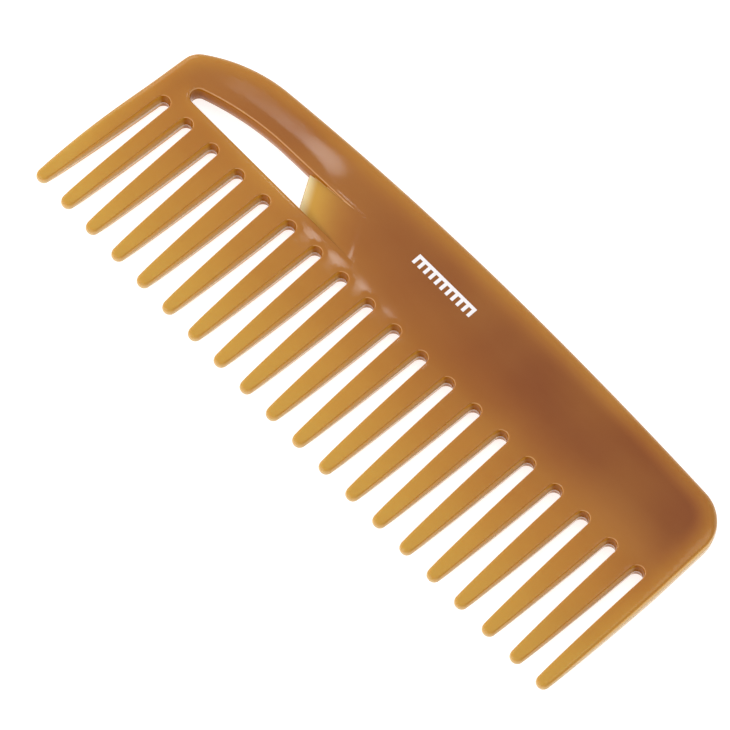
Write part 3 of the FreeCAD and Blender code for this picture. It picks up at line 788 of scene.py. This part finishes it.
def amber_plastic():
    """Translucent moulded plastic, darker where it is thick and yellower where it is thin, with painted
    light and shade.
    """
    n = Nodes("amber_plastic")
    coordinates = n.add("ShaderNodeTexCoord")
    place = coordinates.outputs["Object"]
    facing = n.add("ShaderNodeSeparateXYZ", {0: coordinates.outputs["Normal"]}).outputs["Z"]
    level = n.math("ABSOLUTE", facing)
    height = n.add("ShaderNodeSeparateXYZ", {0: place}).outputs["Z"]
    lift = n.math("DIVIDE", n.math("ABSOLUTE", n.math("SUBTRACT", height, HALF * MM)), HALF * MM)

    body = n.ramp(n.attribute("surround"), BODY_COLOURS)
    flow = n.noise(place, 55, detail=4, stretch=(0.35, 1.6, 1.0))
    cloud = n.noise(place, 22, detail=2)
    body = n.mix(n.spread(flow, 0.35, 0.7, 0.0, 0.16), body, FLOW_TINT, "MULTIPLY")
    body = n.mix(n.spread(cloud, 0.35, 0.7, 0.0, 0.10), body, CLOUD_TINT, "SCREEN")

    # Gold, then pale, where the ramp's plastic is thin: partly the amber's own paler colour, partly
    # painted light glowing through it.
    upward = n.spread(level, 0.35, 0.8)
    gold = n.math("MULTIPLY", n.spread(lift, 0.35, 1.0, 1.0, 0.0), upward)
    body = n.mix(gold, body, GOLD_COLOUR)
    pale = n.math("MULTIPLY", n.spread(lift, 0.14, 0.42, 1.0, 0.0), upward)
    body = n.mix(pale, body, THIN_COLOUR)

    # Walls are amber by the face and pale towards the parting line, painted light from the floor below.
    wall = n.spread(level, 0.25, 0.75, 1.0, 0.0)
    side = n.mix(n.spread(lift, 0.05, 0.55, 1.0, 0.0), WALL_LIGHT, WALL_FOOT_LIT)
    behind = n.attribute("behind")
    # Painted shade where solid plastic lies behind a wall.
    side = n.mix(behind, side, WALL_SHADE)
    colour = n.mix(wall, body, side)
    # The edge rounds get a painted dark line of shade, turning to a painted highlight where plastic
    # lies behind; below, the same rounds get scuffed wear.
    rim = n.math("MULTIPLY", n.spread(level, 0.2, 0.6), n.spread(level, 0.7, 0.97, 1.0, 0.0))
    rim = n.math("MULTIPLY", rim, n.spread(lift, 0.25, 0.5))
    gleam = n.spread(behind, 0.5, 0.95)
    edge = n.mix(gleam, EDGE_SHADE, EDGE_GLEAM)
    edge_share = n.math("MULTIPLY", rim, n.math("MULTIPLY_ADD", gleam, 0.2, 0.45))
    colour = n.mix(edge_share, colour, edge)

    scuffs = n.noise(place, 420, detail=5, roughness=0.7)
    worn = n.math("MULTIPLY", n.spread(scuffs, 0.56, 0.72), rim)
    colour = n.mix(n.math("MULTIPLY", worn, 0.35), colour, WORN)

    gloss = n.noise(place, 60, detail=5, stretch=(0.6, 1.3, 1.0))
    roughness = n.spread(gloss, 0.3, 0.75, 0.045, 0.10)
    roughness = n.math("ADD", roughness, n.math("MULTIPLY", worn, 0.25))
    fine = n.noise(place, 1500, detail=2)
    broad = n.noise(place, 90, detail=2, stretch=(0.7, 1.2, 1.0))
    relief = n.math("ADD", n.math("MULTIPLY", fine, 0.04), broad)
    bump = n.add("ShaderNodeBump", {"Height": relief, "Strength": 0.3, "Distance": 0.00006})
    n.set(Base_Color=colour, Roughness=roughness, Normal=bump.outputs[0])
    n.set(Specular_IOR_Level=n.spread(level, 0.25, 0.75, 0.08, 0.22))
    n.set(Subsurface_Weight=0.25, Subsurface_Scale=SCATTER_REACH, Subsurface_Radius=SCATTER_SHARES)
    return n.material


def white_ink():
    """Printed ink: chalky white, a little uneven, thin enough for the plastic to tint it."""
    n = Nodes("white_ink")
    place = n.add("ShaderNodeTexCoord").outputs["Object"]
    patchy = n.noise(place, 900, detail=4, roughness=0.65)
    worn = n.noise(place, 260, detail=5, roughness=0.7)
    colour = n.mix(n.spread(patchy, 0.3, 0.75, 0.0, 0.35), INK, THIN_INK)
    colour = n.mix(n.spread(worn, 0.66, 0.74, 0.0, 0.5), colour, WORN_INK)
    bump = n.add("ShaderNodeBump", {"Height": patchy, "Strength": 0.4, "Distance": 0.00003})
    n.set(Base_Color=colour, Roughness=n.spread(patchy, 0.3, 0.7, 0.42, 0.62))
    n.set(Normal=bump.outputs[0])
    return n.material


moulding.data.materials.append(amber_plastic())
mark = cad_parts["printed_mark"]
mark.data.materials.clear()
mark.data.materials.append(white_ink())


# ---------------------------------------------------------------- floor and camera

FLOOR_REACH = 3.0
FLOOR_DARKER = (0.60, 0.60, 0.60, 1)
FLOOR_LIGHTER = (0.64, 0.64, 0.64, 1)
FLOOR_GLOW = 0.74
WHITE = (1, 1, 1, 1)


def make_floor():
    """White paper that glows a little, so that the comb's shadow on it stays pale."""
    mesh = bpy.data.meshes.new("floor")
    reach = FLOOR_REACH
    corners = [(-reach, -reach, 0), (reach, -reach, 0), (reach, reach, 0), (-reach, reach, 0)]
    mesh.from_pydata(corners, [], [(0, 1, 2, 3)])
    floor = bpy.data.objects.new("floor", mesh)
    bpy.context.scene.collection.objects.link(floor)
    n = Nodes("white_paper")
    place = n.add("ShaderNodeTexCoord").outputs["Object"]
    tone = n.mix(n.noise(place, 30, detail=3), FLOOR_DARKER, FLOOR_LIGHTER)
    n.set(Base_Color=tone, Roughness=0.9, Emission_Color=WHITE, Emission_Strength=FLOOR_GLOW)
    mesh.materials.append(n.material)


CAMERA_TILT = math.radians(23)
CAMERA_SIDE = math.radians(-45)
CAMERA_ROLL = math.radians(49.66)
CAMERA_DISTANCE = 1.2
CAMERA_LENS = 235.1
CAMERA_AIM = Vector((0.00102, -0.00632, 0.0033))


def camera_back():
    """The direction from the comb to the camera."""
    level = math.sin(CAMERA_TILT)
    return Vector((level * math.cos(CAMERA_SIDE), level * math.sin(CAMERA_SIDE), math.cos(CAMERA_TILT)))


def make_camera():
    back = camera_back()
    right = Vector((0, 1, 0)).cross(back).normalized()
    above = back.cross(right)
    turned_right = math.cos(CAMERA_ROLL) * right + math.sin(CAMERA_ROLL) * above
    turned_up = -math.sin(CAMERA_ROLL) * right + math.cos(CAMERA_ROLL) * above
    data = bpy.data.cameras.new("camera")
    data.lens = CAMERA_LENS
    data.sensor_width = 36
    data.clip_end = 10
    camera = bpy.data.objects.new("camera", data)
    rotation = Matrix((turned_right, turned_up, back)).transposed()
    camera.matrix_world = Matrix.Translation(CAMERA_AIM + back * CAMERA_DISTANCE) @ rotation.to_4x4()
    bpy.context.scene.collection.objects.link(camera)
    bpy.context.scene.camera = camera


# ---------------------------------------------------------------- light

CARD_RISE = 0.22
BOW_CARD_TURN = math.radians(7.5)
ROOT_CARD_TURN = math.radians(-8)
ROOT_CARD_GLOW = 12.0

# Soft glints on the root bar: where each card's reflection lies on a level face, across and up
# the comb, then its length and its width. The face tilts there, which moves them up and narrows them.
ROOT_GLINTS = (
    (-0.0330, 0.0034, 0.0056, 0.0076),
    (-0.0238, 0.0030, 0.0060, 0.0080),
    (-0.0140, 0.0026, 0.0048, 0.0070),
    (-0.0042, 0.0022, 0.0032, 0.0050),
)


def make_world(strength):
    world = bpy.data.worlds.new("studio")
    bpy.context.scene.world = world
    world.use_nodes = True
    background = world.node_tree.nodes["Background"]
    background.inputs["Color"].default_value = WHITE
    background.inputs["Strength"].default_value = strength


def add_light(name, shape, size, energy, place):
    """An area light that the camera doesn't see. It looks down until it is turned."""
    data = bpy.data.lights.new(name, "AREA")
    data.shape = shape
    data.size, data.size_y = size
    data.energy = energy
    light = bpy.data.objects.new(name, data)
    light.location = place
    light.visible_camera = False
    bpy.context.scene.collection.objects.link(light)
    return light


def add_softbox(name, place, size, energy):
    """A soft light that looks at the comb, its first size across and its second upwards."""
    light = add_light(name, "RECTANGLE", size, energy, place)
    light.rotation_mode = "QUATERNION"
    light.rotation_quaternion = (-Vector(place)).to_track_quat("-Z", "Y")


def glint_place(spot):
    """Where a card has to stand for the flat face to mirror it to the camera at a spot."""
    eye = CAMERA_AIM + camera_back() * CAMERA_DISTANCE
    face = 2 * HALF * MM
    share = (eye.z - face) / (eye.z - face + CARD_RISE)
    across = eye.x + (spot[0] - eye.x) / share
    up = eye.y + (spot[1] - eye.y) / share
    return Vector((across, up, face + CARD_RISE)), share


def add_reflector(name, spot, size, turn, glow):
    """A small round card, as bright as its glow, that the flat face mirrors to the camera at a spot."""
    place, share = glint_place(spot)
    length, width = (side / share for side in size)
    energy = glow * math.pi * math.pi * length * width / 4
    light = add_light(name, "ELLIPSE", (length, width), energy, place)
    light.rotation_euler = (0, 0, turn)


make_floor()
make_world(0.72)
add_softbox("left_softbox", (-0.85, 0.12, 0.36), (0.9, 0.5), 2.6)
add_softbox("front_softbox", (-0.22, -0.72, 0.55), (0.8, 0.4), 3.2)
add_softbox("overhead_softbox", (0.3, 0.4, 1.1), (0.6, 0.6), 2.0)
add_reflector("bow_card", (-0.0485, 0.0242), (0.015, 0.0056), BOW_CARD_TURN, 10.0)
add_reflector("bow_streak_card", (-0.0630, 0.0224), (0.034, 0.0042), BOW_CARD_TURN, 6.5)
for number, (across, up, length, width) in enumerate(ROOT_GLINTS):
    add_reflector(f"root_card_{number}", (across, up), (length, width), ROOT_CARD_TURN, ROOT_CARD_GLOW)
make_camera()
bpy.context.scene.view_settings.view_transform = "Standard"
